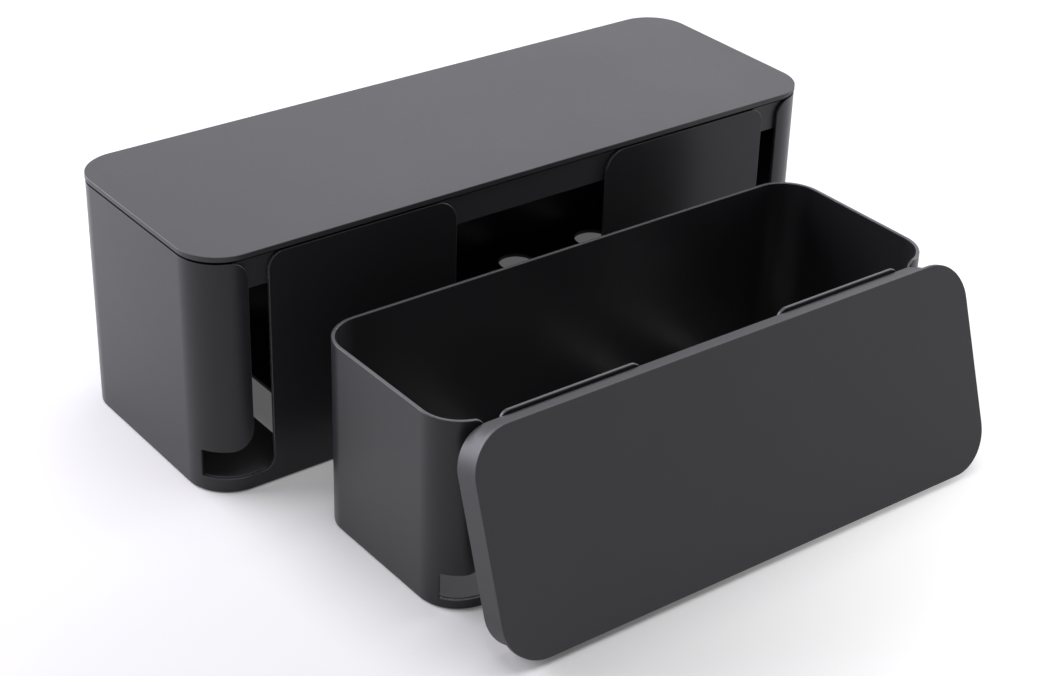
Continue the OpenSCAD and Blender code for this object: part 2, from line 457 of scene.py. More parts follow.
@dataclass(frozen=True)
class Bend:
    """Profile corner that is swept round a footprint.

    Attributes:
        inset: Distance from the box's outside.
        height: Height of the corner.
        radius: Rounding of the corner.
        edge: True for an outer edge, which takes wear and a painted highlight.
        painted_shade: True in a groove, whose colour is painted dark as painted shade.
    """

    inset: float
    height: float
    radius: float = 0.0
    edge: bool = False
    painted_shade: bool = False


def rounded_profile(bends: list[Bend]) -> list[tuple[float, float, float, float]]:
    """Rounds the square corners of a profile.

    Args:
        bends: The profile's corners in order, with two free ends.

    Returns:
        Inset, height, edge weight and painted-shade weight of each point.
    """
    points = []
    for index, bend in enumerate(bends):
        here = Vector((bend.inset, bend.height))
        if bend.radius == 0:
            points.append((here.x, here.y, 0.0, 0.0))
            continue
        come = (here - Vector((bends[index - 1].inset, bends[index - 1].height))).normalized()
        leave = (Vector((bends[index + 1].inset, bends[index + 1].height)) - here).normalized()
        centre = here + bend.radius * (leave - come)
        for step in range(ROUND_STEPS + 1):
            angle = math.pi / 2 * step / ROUND_STEPS
            place = centre + bend.radius * (math.sin(angle) * come - math.cos(angle) * leave)
            weight = math.sin(2 * angle) if bend.edge else 0.0
            points.append((place.x, place.y, weight, float(bend.painted_shade)))
    return points


# ---------------------------------------------------------------------------
# Node trees
# ---------------------------------------------------------------------------

Feed = Union[bpy.types.NodeSocket, float, tuple]


class Tree:
    """Thin helper that adds and links the nodes of one tree."""

    def __init__(self, tree: bpy.types.NodeTree) -> None:
        """Wraps the tree to build in."""
        self.tree = tree

    def feed(self, node: bpy.types.Node, inputs: dict) -> None:
        """Sets or links inputs of a node.

        Args:
            node: The node.
            inputs: Values or sockets for its inputs, by name or place.
        """
        for key, value in inputs.items():
            if isinstance(value, bpy.types.NodeSocket):
                self.tree.links.new(value, node.inputs[key])
            else:
                node.inputs[key].default_value = value

    def add(self, kind: str, inputs: Optional[dict] = None, **settings: object) -> bpy.types.Node:
        """Adds a node.

        Args:
            kind: The node's type.
            inputs: Values or sockets for its inputs, by name or place.
            settings: Values for its own properties.

        Returns:
            The node.
        """
        node = self.tree.nodes.new(kind)
        for name, value in settings.items():
            setattr(node, name, value)
        self.feed(node, inputs or {})
        return node

    def give(
        self, kind: str, inputs: Optional[dict] = None, **settings: object
    ) -> bpy.types.NodeSocket:
        """Adds a node and gives its first output."""
        return self.add(kind, inputs, **settings).outputs[0]

    def math(self, operation: str, *values: Feed) -> bpy.types.NodeSocket:
        """Adds a maths node and gives its result."""
        return self.give("ShaderNodeMath", dict(enumerate(values)), operation=operation)

    def scaled(self, value: Feed, factor: Feed) -> bpy.types.NodeSocket:
        """Multiplies two numbers or sockets."""
        return self.math("MULTIPLY", value, factor)

    def vector(self, x: Feed = 0.0, y: Feed = 0.0, z: Feed = 0.0) -> bpy.types.NodeSocket:
        """Combines three numbers or sockets and gives the vector."""
        return self.give("ShaderNodeCombineXYZ", {0: x, 1: y, 2: z})

    def mix(self, factor: Feed, first: Feed, second: Feed) -> bpy.types.NodeSocket:
        """Mixes two colours and gives the result."""
        inputs = {0: factor, 6: first, 7: second}
        return self.add("ShaderNodeMix", inputs, data_type="RGBA", clamp_factor=True).outputs[2]

    def noise(
        self, place: Feed, scale: Feed, detail: float, roughness: float = 0.5
    ) -> bpy.types.NodeSocket:
        """Adds a noise texture and gives its value."""
        inputs = {"Vector": place, "Scale": scale, "Detail": detail, "Roughness": roughness}
        return self.give("ShaderNodeTexNoise", inputs)

    def fade(self, value: Feed, start: float, end: float, top: float) -> bpy.types.NodeSocket:
        """Gives a number that rises smoothly from 0 at start to top at end."""
        inputs = {"Value": value, "From Min": start, "From Max": end, "To Max": top}
        return self.give("ShaderNodeMapRange", inputs, interpolation_type="SMOOTHSTEP")

    def join(self, *sockets: bpy.types.NodeSocket) -> bpy.types.NodeSocket:
        """Joins geometries and gives the result."""
        node = self.add("GeometryNodeJoinGeometry")
        for socket in sockets:
            self.tree.links.new(socket, node.inputs[0])
        return node.outputs[0]

    def rounded(self, width: Feed, height: Feed, radius: Feed, steps: int) -> bpy.types.NodeSocket:
        """Adds a rectangle with rounded corners and gives its curve."""
        sides = {"Width": width, "Height": height}
        curve = self.give("GeometryNodeCurvePrimitiveQuadrilateral", sides)
        inputs = {"Curve": curve, "Radius": radius, "Count": steps}
        return self.give("GeometryNodeFilletCurve", inputs, mode="POLY")

    def copies(
        self, points: bpy.types.NodeSocket, shape: bpy.types.NodeSocket
    ) -> bpy.types.NodeSocket:
        """Puts a copy of a shape on every point."""
        return self.give("GeometryNodeInstanceOnPoints", {"Points": points, "Instance": shape})


def new_group(
    name: str, kind: str, inputs: dict, outputs: dict
) -> tuple[Tree, bpy.types.Node, bpy.types.Node]:
    """Starts a node group with named sockets.

    Args:
        name: Name of the group.
        kind: Type of its tree.
        inputs: Socket types by name.
        outputs: Socket types by name.

    Returns:
        The tree helper and the group's input and output nodes.
    """
    group = bpy.data.node_groups.new(name, kind)
    for direction, sockets in (("INPUT", inputs), ("OUTPUT", outputs)):
        for socket, socket_type in sockets.items():
            group.interface.new_socket(name=socket, in_out=direction, socket_type=socket_type)
    tree = Tree(group)
    return tree, tree.add("NodeGroupInput"), tree.add("NodeGroupOutput")


FLOAT, VECTOR = "NodeSocketFloat", "NodeSocketVector"
COLOUR, SHAPE = "NodeSocketColor", "NodeSocketGeometry"


def grow(
    name: str, group: bpy.types.NodeTree, values: dict, bevel: float, place: Matrix
) -> bpy.types.Object:
    """Makes a plain mesh piece from a geometry node tree.

    Args:
        name: Name of the piece.
        group: The tree, whose inputs are sizes.
        values: Value of each input, by its name.
        bevel: Width of the bevel on sharp edges, 0 for none.
        place: Where the piece goes in the frame.

    Returns:
        The piece, with its place in its mesh.
    """
    seed = put_in_scene(name + "_seed", bpy.data.meshes.new(name + "_seed"))
    modifier = seed.modifiers.new("nodes", "NODES")
    modifier.node_group = group
    for item in group.interface.items_tree:
        if item.in_out == "INPUT" and item.name in values:
            modifier[item.identifier] = values[item.name]
    if bevel:
        edge = seed.modifiers.new("edge", "BEVEL")
        edge.width, edge.segments, edge.limit_method = bevel, BEVEL_STEPS, "ANGLE"
        edge.angle_limit, edge.use_clamp_overlap = BEVEL_ANGLE, False
    bpy.context.view_layer.update()
    evaluated = seed.evaluated_get(bpy.context.evaluated_depsgraph_get())
    grown = bpy.data.meshes.new_from_object(evaluated)
    grown.name = name
    mark_edges(grown)
    grown.transform(place)
    bpy.data.objects.remove(seed)
    piece = put_in_scene(name, grown)
    smooth_by_area(grown)
    return piece


def vented_plate_tree() -> bpy.types.NodeTree:
    """Builds the tree of a rounded plate with rows of stadium-shaped vents.

    Returns:
        The tree, whose inputs are the plate's and the vents' sizes.
    """
    plate = ("Length", "Width", "Corner", "Thickness")
    sizes = (*plate, "First Vent", "Pitch", "Vent Width", "Vent Length")
    tree, given, made = new_group(
        "vented_plate", "GeometryNodeTree", dict.fromkeys(sizes, FLOAT), {"Plate": SHAPE}
    )
    at = given.outputs
    rim = tree.rounded(at["Length"], at["Width"], at["Corner"], CORNER_STEPS)
    end = tree.scaled(at["Vent Width"], VENT_END)
    vent = tree.rounded(at["Vent Width"], at["Vent Length"], end, CORNER_STEPS)
    rows = []
    for side in (-1, 1):
        start = tree.vector(tree.scaled(at["First Vent"], side))
        step = tree.vector(tree.scaled(at["Pitch"], -side))
        pair = {"Count": 2, "Start Location": start, "Offset": step}
        rows.append(tree.copies(tree.give("GeometryNodeMeshLine", pair), vent))
    vents = tree.give("GeometryNodeRealizeInstances", {0: tree.join(*rows)})
    face = tree.give("GeometryNodeFillCurve", {0: tree.join(rim, vents)}, mode="TRIANGLES")
    raised = tree.give(
        "GeometryNodeExtrudeMesh",
        {"Mesh": face, "Offset Scale": at["Thickness"], "Individual": False},
        mode="FACES",
    )
    both = tree.join(raised, tree.give("GeometryNodeFlipFaces", {0: face}))
    closed = tree.give("GeometryNodeMergeByDistance", {"Geometry": both, "Distance": MERGE})
    tree.feed(made, {0: tree.give("GeometryNodeSetMaterial", {0: closed})})
    return tree.tree


def feet_tree() -> bpy.types.NodeTree:
    """Builds the tree of four round feet, each a ring round a thinner disc.

    Returns:
        The tree, whose inputs are the feet's spacing and sizes.
    """
    sizes = ("Spacing X", "Spacing Y", "Diameter", "Height", "Ring Width", "Rounding")
    tree, given, made = new_group(
        "rubber_feet", "GeometryNodeTree", dict.fromkeys(sizes, FLOAT), {"Feet": SHAPE}
    )
    at = given.outputs
    height, ring_width = at["Height"], at["Ring Width"]
    radius = tree.math("SUBTRACT", tree.scaled(at["Diameter"], 0.5), tree.scaled(ring_width, 0.5))
    circle = {"Resolution": CIRCLE_STEPS, "Radius": radius}
    path = tree.give("GeometryNodeCurvePrimitiveCircle", circle)
    section = tree.rounded(ring_width, height, at["Rounding"], BEVEL_STEPS)
    ring = tree.give("GeometryNodeCurveToMesh", {"Curve": path, "Profile Curve": section})
    depth = tree.scaled(height, FOOT_DISC_DEPTH)
    disc = tree.give(
        "GeometryNodeMeshCylinder", {"Vertices": CIRCLE_STEPS, "Radius": radius, "Depth": depth}
    )
    parts = []
    for shape, middle in ((ring, 0.5), (disc, FOOT_DISC_MIDDLE)):
        lift = tree.vector(z=tree.scaled(height, middle))
        moved = {"Geometry": shape, "Translation": lift}
        parts.append(tree.give("GeometryNodeTransform", moved))
    spacing = {"Size X": at["Spacing X"], "Size Y": at["Spacing Y"]}
    spots = tree.give("GeometryNodeMeshGrid", {**spacing, "Vertices X": 2, "Vertices Y": 2})
    feet = tree.copies(spots, tree.join(*parts))
    whole = tree.give("GeometryNodeRealizeInstances", {0: feet})
    tree.feed(made, {0: tree.give("GeometryNodeSetMaterial", {0: whole})})
    return tree.tree


# ---------------------------------------------------------------------------
# Finishes
# ---------------------------------------------------------------------------


def grain_group() -> bpy.types.NodeTree:
    """Builds the shared group for the fine grain of a moulded surface.

    Returns:
        The group, which turns a grain size and depth into a normal.
    """
    broad_scale, broad_share = 0.13, 0.6
    tree, given, made = new_group(
        "moulded_grain", "ShaderNodeTree", {"Size": FLOAT, "Depth": FLOAT}, {"Normal": VECTOR}
    )
    place = tree.add("ShaderNodeTexCoord").outputs["Object"]
    scale = tree.math("DIVIDE", 1.0, given.outputs["Size"])
    fine = tree.noise(place, scale, 2.0, 0.6)
    broad = tree.noise(place, tree.scaled(scale, broad_scale), 1.0)
    height = tree.math("ADD", fine, tree.scaled(broad, broad_share))
    shape = {"Height": height, "Distance": given.outputs["Depth"], "Strength": 1.0}
    tree.feed(made, {"Normal": tree.give("ShaderNodeBump", shape)})
    return tree.tree


def handling_and_painted_light_group() -> bpy.types.NodeTree:
    """Builds the shared group for the uneven sheen and tone that moulding and hands leave,
    with a painted highlight on edges and painted shade in grooves.

    Returns:
        The group, which gives a colour and a roughness that drift over the surface and change on
        the edges, where the lighter colour is partly wear and partly a painted highlight. In a
        groove the colour is painted near black as painted shade, and the metallic share takes away
        the groove's pale sheen to make that painted shade blacker.
    """
    cloud_scale, speck_scale, speck_share, mean = 9.0, 420.0, 0.5, 0.5
    # The edges are lightened, partly as wear and partly as a painted highlight
    edge_wear_and_highlight, cloud_wear, edge_polish = 0.8, 0.3, 0.06
    # Painted shade: a groove's colour goes near black and its metallic share takes away its sheen
    painted_groove_shade, groove_rough, painted_shade_metal = (0.003, 0.003, 0.003, 1), 0.5, 0.9
    tree, given, made = new_group(
        "handled_sheen_and_painted_light",
        "ShaderNodeTree",
        {"Colour": COLOUR, "Wear And Highlight Colour": COLOUR, "Roughness": FLOAT, "Drift": FLOAT},
        {"Colour": COLOUR, "Roughness": FLOAT, "Metallic": FLOAT},
    )
    at = given.outputs
    place = tree.add("ShaderNodeTexCoord").outputs["Object"]
    edge, groove = (
        tree.add("ShaderNodeAttribute", attribute_name=layer).outputs["Fac"]
        for layer in (EDGE_LAYER, PAINTED_SHADE_LAYER)
    )
    drift = tree.math("SUBTRACT", tree.noise(place, cloud_scale, 3.0, 0.55), mean)
    speck = tree.math("SUBTRACT", tree.noise(place, speck_scale, 2.0, 0.6), mean)
    uneven = tree.math("ADD", drift, tree.scaled(speck, speck_share))
    rough = tree.math("ADD", at["Roughness"], tree.scaled(uneven, at["Drift"]))
    rough = tree.math("SUBTRACT", rough, tree.scaled(edge, edge_polish))
    rough = tree.math("ADD", rough, tree.scaled(groove, groove_rough))
    # Lighter edges: partly wear, partly a painted highlight; the drift is random tone
    wear_and_highlight = tree.math("ADD", tree.scaled(edge, edge_wear_and_highlight), tree.scaled(drift, cloud_wear))
    rubbed_and_highlit = tree.mix(wear_and_highlight, at["Colour"], at["Wear And Highlight Colour"])
    # Painted shade in the groove; wear and a painted highlight on the edges
    results = {
        "Colour": tree.mix(groove, rubbed_and_highlit, painted_groove_shade),
        "Roughness": rough,
        "Metallic": tree.scaled(groove, painted_shade_metal),
    }
    tree.feed(made, results)
    return tree.tree


@dataclass(frozen=True)
class Moulding:
    """Finish of a moulded piece.

    Attributes:
        slot: Material slot of the record.
        colour: Its colour, linear.
        wear_and_highlight: Colour of the drift, and of its edges as wear and a painted highlight,
            linear.
        roughness: Its mean roughness.
        drift: How far the roughness strays.
        grain: Size of the grain.
        depth: Depth of the grain.
        ior: Refractive index, which sets the sheen.
        tint: Colour of the sheen, linear.
    """

    slot: Slot
    colour: tuple[float, float, float]
    wear_and_highlight: tuple[float, float, float]
    roughness: float
    drift: float
    grain: float
    depth: float
    ior: float = 1.5
    tint: tuple[float, float, float] = (0.97, 0.955, 1.0)

    def build(
        self, grain: bpy.types.NodeTree, handling_and_painted_light: bpy.types.NodeTree
    ) -> bpy.types.Material:
        """Makes the material.

        Args:
            grain: The shared group for grain.
            handling_and_painted_light: The shared group for sheen and tone, with a painted
                highlight on edges and painted shade in grooves.

        Returns:
            The material.
        """
        material = bpy.data.materials.new(self.slot.value)
        material.use_nodes = True
        tree = Tree(material.node_tree)
        tones = {"Colour": (*self.colour, 1), "Wear And Highlight Colour": (*self.wear_and_highlight, 1)}
        sheen = {**tones, "Roughness": self.roughness, "Drift": self.drift}
        handled_and_painted = tree.add("ShaderNodeGroup", sheen, node_tree=handling_and_painted_light).outputs
        bump = {"Size": self.grain, "Depth": self.depth}
        surface = {
            "Base Color": handled_and_painted["Colour"],
            "Roughness": handled_and_painted["Roughness"],
            "Metallic": handled_and_painted["Metallic"],
            "Normal": tree.give("ShaderNodeGroup", bump, node_tree=grain),
            "IOR": self.ior,
            "Specular Tint": (*self.tint, 1),
        }
        tree.feed(material.node_tree.nodes["Principled BSDF"], surface)
        return material


FINISHES = (
    Moulding(
        Slot.SHELL,
        colour=(0.018, 0.018, 0.020),
        wear_and_highlight=(0.080, 0.081, 0.084),
        roughness=0.34,
        drift=0.10,
        grain=0.35 * MM,
        depth=0.010 * MM,
        ior=1.4,
    ),
    Moulding(
        Slot.LID,
        colour=(0.022, 0.0225, 0.024),
        wear_and_highlight=(0.070, 0.071, 0.074),
        roughness=0.48,
        drift=0.10,
        grain=0.35 * MM,
        depth=0.010 * MM,
    ),
    # The base plate is lighter than the shell: painted light, standing in for the light inside the
    # box
    Moulding(
        Slot.BASE,
        colour=(0.060, 0.061, 0.063),
        wear_and_highlight=(0.140, 0.141, 0.145),
        roughness=0.50,
        drift=0.12,
        grain=0.45 * MM,
        depth=0.014 * MM,
    ),
    Moulding(
        Slot.FOOT,
        colour=(0.012, 0.012, 0.012),
        wear_and_highlight=(0.020, 0.020, 0.020),
        roughness=0.75,
        drift=0.10,
        grain=0.25 * MM,
        depth=0.020 * MM,
    ),
)


class Finisher:
    """Dresses pieces and ties them to the frame."""

    def __init__(self) -> None:
        """Builds every finish once."""
        grain, handling_and_painted_light = grain_group(), handling_and_painted_light_group()
        self.materials = {finish.slot: finish.build(grain, handling_and_painted_light) for finish in FINISHES}

    def dress(self, piece: bpy.types.Object, slot: Slot, body: str, *nodes: str) -> None:
        """Gives a piece its finish and its body.

        Args:
            piece: The finished piece.
            slot: Its finish.
            body: The body that it rides on.
            nodes: The frame's nodes that it stands for.
        """
        piece.data.materials.clear()
        piece.data.materials.append(self.materials[slot])
        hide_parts(*nodes)
        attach(piece, body)
        LOG.info("%s: %d faces, body %s", piece.name, len(piece.data.polygons), body)


# ---------------------------------------------------------------------------
# The boxes
# ---------------------------------------------------------------------------


@dataclass(frozen=True)
class Moulds:
    """Sizes that both boxes share.

    Attributes:
        wall: Thickness of the shell.
        wall_edge: Rounding of the shell's edges.
        seat_drop: How far below the rim the lid's seat gets painted shade.
        seat_skin: How far in from the shell's outside that painted shade starts.
        base: Thickness of the base plate.
        base_gap: Gap round the base plate.
        base_edge: Width of the base plate's bevels.
        ledge: Width of the ledge under the base plate.
        ledge_lap: How far the ledge runs into the wall.
        ledge_edge: Rounding of the ledge's edges.
        window_corner: Radius of the corners of the window inside the ledge.
        floor_gap: Height of the shell's lower edge.
        plate: Thickness of the lid's plate.
        lid_edge: Radius of the lid's upper edge.
        small_edge: Rounding of the lid's lower edge and its groove.
        overhang: How far the lid stands out past the shell.
        groove: Height of the shadow groove.
        groove_depth: Depth of the shadow groove.
        skirt: Thickness of the lid's skirt.
        skirt_gap: Gap between skirt and shell.
        skirt_edge: Rounding of the skirt's lower edges.
        skirt_fillet: Rounding between the skirt and the lid's ceiling.
        foot: Diameter of a foot.
        foot_height: Height of a foot.
        foot_ring: Width of the ring round a foot.
        foot_edge: Rounding of that ring.
        foot_recess: Depth of its pocket.
        foot_gap: Gap round a foot in its pocket.
        foot_inset: Distance from the shell's outside to a foot's middle.
        pad_border: Rim of the pad round a foot.
    """

    wall: float = 2 * MM
    wall_edge: float = 0.5 * MM
    seat_drop: float = 0.3 * MM
    seat_skin: float = 0.05 * MM
    base: float = 2.4 * MM
    base_gap: float = 0.3 * MM
    base_edge: float = 0.35 * MM
    ledge: float = 3 * MM
    ledge_lap: float = 0.1 * MM
    ledge_edge: float = 0.15 * MM
    window_corner: float = 1.5 * MM
    floor_gap: float = 0.5 * MM
    plate: float = 2.8 * MM
    lid_edge: float = 0.4 * MM
    small_edge: float = 0.15 * MM
    overhang: float = 0.2 * MM
    groove: float = 1.2 * MM
    groove_depth: float = 0.9 * MM
    skirt: float = 1.8 * MM
    skirt_gap: float = 0.3 * MM
    skirt_edge: float = 0.4 * MM
    skirt_fillet: float = 0.9 * MM
    foot: float = 13 * MM
    foot_height: float = 2 * MM
    foot_ring: float = 2.6 * MM
    foot_edge: float = 0.45 * MM
    foot_recess: float = 0.8 * MM
    foot_gap: float = 0.2 * MM
    foot_inset: float = 15 * MM
    pad_border: float = 3 * MM


MOULDS = Moulds()


@dataclass(frozen=True)
class Openings:
    """Sizes of the openings in a box's front wall.

    Attributes:
        inset: Distance from the shell's end to the corner slot.
        slot: Width of the corner slot's upright leg.
        leg: Height of its level leg.
        turn: How far the level leg runs round the corner, in degrees.
        middle: Width of the middle opening.
        panel: Radius of the front panels' upper corners at the middle opening.
        panel_slot: Radius of their upper corners at the corner slots.
        flap_top: Radius of the end wall's upper corner at the slot.
        flap_bottom: Radius of the end wall's lower corner at the slot.
        floor: Radius of the openings' lower corners.
        leg_end: Radius of the corners where the level leg ends.
    """

    inset: float
    slot: float
    leg: float
    turn: float
    middle: float
    panel: float
    panel_slot: float
    flap_top: float
    flap_bottom: float
    floor: float
    leg_end: float = 1.4 * MM


@dataclass(frozen=True)
class Vents:
    """Sizes of the vents in a base plate.

    Attributes:
        inset: Distance from the shell's end to the first vent.
        pitch: Distance between two vents.
        width: Width of a vent.
        margin: Distance from the shell's outside to a vent's end.
    """

    inset: float
    pitch: float
    width: float
    margin: float


@dataclass(frozen=True)
class CableBox:
    """One box with its base plate, lid and feet.

    Attributes:
        name: First word of its nodes.
        body: Body that the shell rides on.
        lid_body: Body that the lid rides on.
        footprint: Outline of the shell.
        rim: Height of the shell's rim.
        base_top: Height of the base plate's upper face.
        lid_depth: Height of the lid.
        openings: Openings of the front wall.
        vents: Vents of the base plate.
        place: Where the box stands.
        lid_place: Where the lid's upper face is.
        lid_on: True where the lid sits on the rim.
    """

    name: str
    body: str
    lid_body: str
    footprint: Footprint
    rim: float
    base_top: float
    lid_depth: float
    openings: Openings
    vents: Vents
    place: Matrix
    lid_place: Matrix
    lid_on: bool

    def wall_corners(self) -> list[Corner]:
        """Lists the corners of the shell's wall, laid out flat.

        Returns:
            The corners, with the distance along the wall and the height.
        """
        gaps, print_ = self.openings, self.footprint
        low, top, sill, seam = MOULDS.floor_gap, self.rim, self.base_top, print_.seam
        flap = print_.along(print_.length / 2 - gaps.inset)
        panel = print_.length / 2 - gaps.inset - gaps.slot
        leg_end = print_.straight + print_.corner * math.radians(gaps.turn)
        half, leg_top = gaps.middle / 2, sill + gaps.leg
        right = [
            Corner(flap, top, gaps.flap_top),
            Corner(flap, leg_top, gaps.flap_bottom),
            Corner(leg_end, leg_top, gaps.leg_end),
            Corner(leg_end, sill, gaps.leg_end),
            Corner(panel, sill, gaps.floor),
            Corner(panel, top, gaps.panel_slot),
            Corner(half, top, gaps.panel),
            Corner(half, sill, gaps.floor),
        ]
        left = [Corner(-corner.x, corner.y, corner.radius) for corner in reversed(right)]
        sheet = ((-seam, low), (seam, low), (seam, top), (-seam, top))
        *start, end = (Corner(x, y, free=False) for x, y in sheet)
        return [*start, *right, *left, end]

    def add_wall(self, builder: Builder) -> None:
        """Adds the shell's wall, cut as a flat sheet and folded round the box."""
        corners = self.wall_corners()
        rows = [
            builder.loop([(x, y, -depth) for x, y in square_outline(corners, inset)], weight)
            for inset, depth, weight in edge_steps(MOULDS.wall_edge, MOULDS.wall)
        ]
        for outer, inner in zip(rows, rows[1:]):
            # The two upright ends stay open: they meet at the seam behind the box
            builder.bridge(inner, outer, skip=(1, len(outer) - 1))
        builder.cap([rows[0]], flip=False)
        builder.cap([rows[-1]], flip=True)
        mesh = builder.mesh
        # Painted shade: where the lid sits, the rim's top is painted dark as if shaded by the lid
        if self.lid_on:
            seat = self.rim - MOULDS.seat_drop
            for vert in mesh.verts:
                shaded = vert.co.y > seat and vert.co.z < -MOULDS.seat_skin
                vert[builder.painted_shade] = float(shaded)
        for fold in self.footprint.folds():
            parts = [*mesh.verts, *mesh.edges, *mesh.faces]
            bmesh.ops.bisect_plane(
                mesh, geom=parts, plane_co=(fold, 0, 0), plane_no=(1, 0, 0), dist=MERGE
            )
        for vert in mesh.verts:
            place, out = self.footprint.bend(vert.co.x)
            vert.co = place + out * vert.co.z + Vector((0, 0, vert.co.y))

    def floor_window(self) -> Outline:
        """Gives the window inside the ledge and the corner pads."""
        pad = MOULDS.foot_inset + MOULDS.foot / 2 + MOULDS.foot_gap + MOULDS.pad_border
        wide_x = self.footprint.length / 2 - MOULDS.wall - MOULDS.ledge
        wide_y = self.footprint.width / 2 - MOULDS.wall - MOULDS.ledge
        near_x, near_y = self.footprint.length / 2 - pad, self.footprint.width / 2 - pad
        half = [(wide_x, -near_y), (wide_x, near_y), (near_x, near_y)]
        half += [(near_x, wide_y), (-near_x, wide_y), (-near_x, near_y)]
        points = [*half, *((-x, -y) for x, y in half)]
        corners = [Corner(x, y, MOULDS.window_corner) for x, y in points]
        return lambda inset: square_outline(corners, -inset)

    def feet_spots(self) -> list[tuple[float, float]]:
        """Lists the middles of the feet."""
        x = self.footprint.length / 2 - MOULDS.foot_inset
        y = self.footprint.width / 2 - MOULDS.foot_inset
        return [(-x, -y), (x, -y), (x, y), (-x, y)]

    def add_floor_frame(self, builder: Builder) -> None:
        """Adds the ledge and the pads that carry the base plate and take the feet."""
        radius = MOULDS.foot / 2 + MOULDS.foot_gap
        outside = MOULDS.wall - MOULDS.ledge_lap
        Plate(
            outline=lambda inset: self.footprint.ring(outside + inset),
            low=MOULDS.foot_height - MOULDS.foot_recess,
            high=self.base_top - MOULDS.base,
            rounding=MOULDS.ledge_edge,
            holes=(self.floor_window(),),
            pockets=tuple(circle_outline(x, y, radius) for x, y in self.feet_spots()),
            pocket_top=MOULDS.foot_height,
        ).add_to(builder)

    def build_shell(self) -> bpy.types.Object:
        """Makes the shell with its ledge and pads."""
        builder = Builder()
        self.add_wall(builder)
        self.add_floor_frame(builder)
        return builder.finish(f"{self.name}_shell_body", self.place)

    def build_lid(self) -> bpy.types.Object:
        """Makes the lid by sweeping its profile round the box."""
        skirt_out = MOULDS.wall + MOULDS.skirt_gap
        skirt_in = skirt_out + MOULDS.skirt
        seat = -MOULDS.plate - MOULDS.groove
        small, skirt_edge = MOULDS.small_edge, MOULDS.skirt_edge
        top_middle, ceiling_middle = 12 * MM, 16 * MM
        profile = [
            Bend(top_middle, 0),
            Bend(-MOULDS.overhang, 0, MOULDS.lid_edge),
            Bend(-MOULDS.overhang, -MOULDS.plate, small),
            # Both faces of the shadow groove get painted shade
            Bend(MOULDS.groove_depth, -MOULDS.plate, small, painted_shade=True),
            Bend(MOULDS.groove_depth, seat, small, painted_shade=True),
            Bend(skirt_out, seat, small),
            Bend(skirt_out, -self.lid_depth, skirt_edge, edge=True),
            Bend(skirt_in, -self.lid_depth, skirt_edge, edge=True),
            Bend(skirt_in, -MOULDS.plate, MOULDS.skirt_fillet),
            Bend(ceiling_middle, -MOULDS.plate),
        ]
        builder = Builder()
        rows = [
            builder.loop([(x, y, height) for x, y in self.footprint.ring(inset)], weight, painted_shade)
            for inset, height, weight, painted_shade in rounded_profile(profile)
        ]
        for above, below in zip(rows, rows[1:]):
            builder.bridge(below, above)
        builder.cap([rows[0]], flip=False)
        builder.cap([rows[-1]], flip=True)
        return builder.finish(f"{self.name}_lid_body", self.lid_place)

    def build_base(self, tree: bpy.types.NodeTree) -> bpy.types.Object:
        """Makes the base plate.

        Args:
            tree: The tree of a vented plate.

        Returns:
            The piece.
        """
        inset = MOULDS.wall + MOULDS.base_gap
        sizes = {
            "Length": self.footprint.length - 2 * inset,
            "Width": self.footprint.width - 2 * inset,
            "Corner": self.footprint.corner - inset,
            "Thickness": MOULDS.base,
            "First Vent": self.footprint.length / 2 - self.vents.inset,
            "Pitch": self.vents.pitch,
            "Vent Width": self.vents.width,
            "Vent Length": self.footprint.width - 2 * self.vents.margin,
        }
        place = self.place @ Matrix.Translation((0, 0, self.base_top - MOULDS.base))
        return grow(f"{self.name}_base", tree, sizes, MOULDS.base_edge, place)

    def build_feet(self, tree: bpy.types.NodeTree) -> bpy.types.Object:
        """Makes the four feet.

        Args:
            tree: The tree of the feet.

        Returns:
            The piece.
        """
        sizes = {
            "Spacing X": self.footprint.length - 2 * MOULDS.foot_inset,
            "Spacing Y": self.footprint.width - 2 * MOULDS.foot_inset,
            "Diameter": MOULDS.foot,
            "Height": MOULDS.foot_height,
            "Ring Width": MOULDS.foot_ring,
            "Rounding": MOULDS.foot_edge,
        }
        return grow(f"{self.name}_feet", tree, sizes, 0.0, self.place)

    def build(
        self, finisher: Finisher, plate_tree: bpy.types.NodeTree, foot_tree: bpy.types.NodeTree
    ) -> None:
        """Makes and dresses every piece of the box.

        Args:
            finisher: Gives the pieces their finish.
            plate_tree: The tree of a vented plate.
            foot_tree: The tree of the feet.
        """
        sides = ("front_left", "front_right", "rear_left", "rear_right")
        feet = [f"{self.name}_foot_{side}" for side in sides]
        plate = f"{self.name}_base_plate"
        finisher.dress(self.build_shell(), Slot.SHELL, self.body, f"{self.name}_shell")
        finisher.dress(self.build_base(plate_tree), Slot.BASE, self.body, plate)
        finisher.dress(self.build_lid(), Slot.LID, self.lid_body, f"{self.name}_lid")
        finisher.dress(self.build_feet(foot_tree), Slot.FOOT, self.body, *feet)


LARGE_PRINT = Footprint(400 * MM, 139 * MM, 24 * MM)
SMALL_PRINT = Footprint(313.5 * MM, 114 * MM, 22.5 * MM)
LARGE_RIM = 132.3 * MM
SMALL_LID_DEPTH = 18.7 * MM
SMALL_X, LEANING_X = -2.5 * MM, -4 * MM
BOX_GAP = 34.7 * MM
LEAN = math.radians(18.6)
LEAN_GAP = 0.3 * MM

# The leaning lid stands on its skirt's lower edge, and the skirt's upper edge meets the wall
SKIRT_HALF = SMALL_PRINT.width / 2 - MOULDS.wall - MOULDS.skirt_gap
LEAN_HEIGHT = SKIRT_HALF * math.cos(LEAN) + SMALL_LID_DEPTH * math.sin(LEAN)
LEAN_REACH = LEAN_GAP + SKIRT_HALF * math.sin(LEAN) + SMALL_LID_DEPTH * math.cos(LEAN)

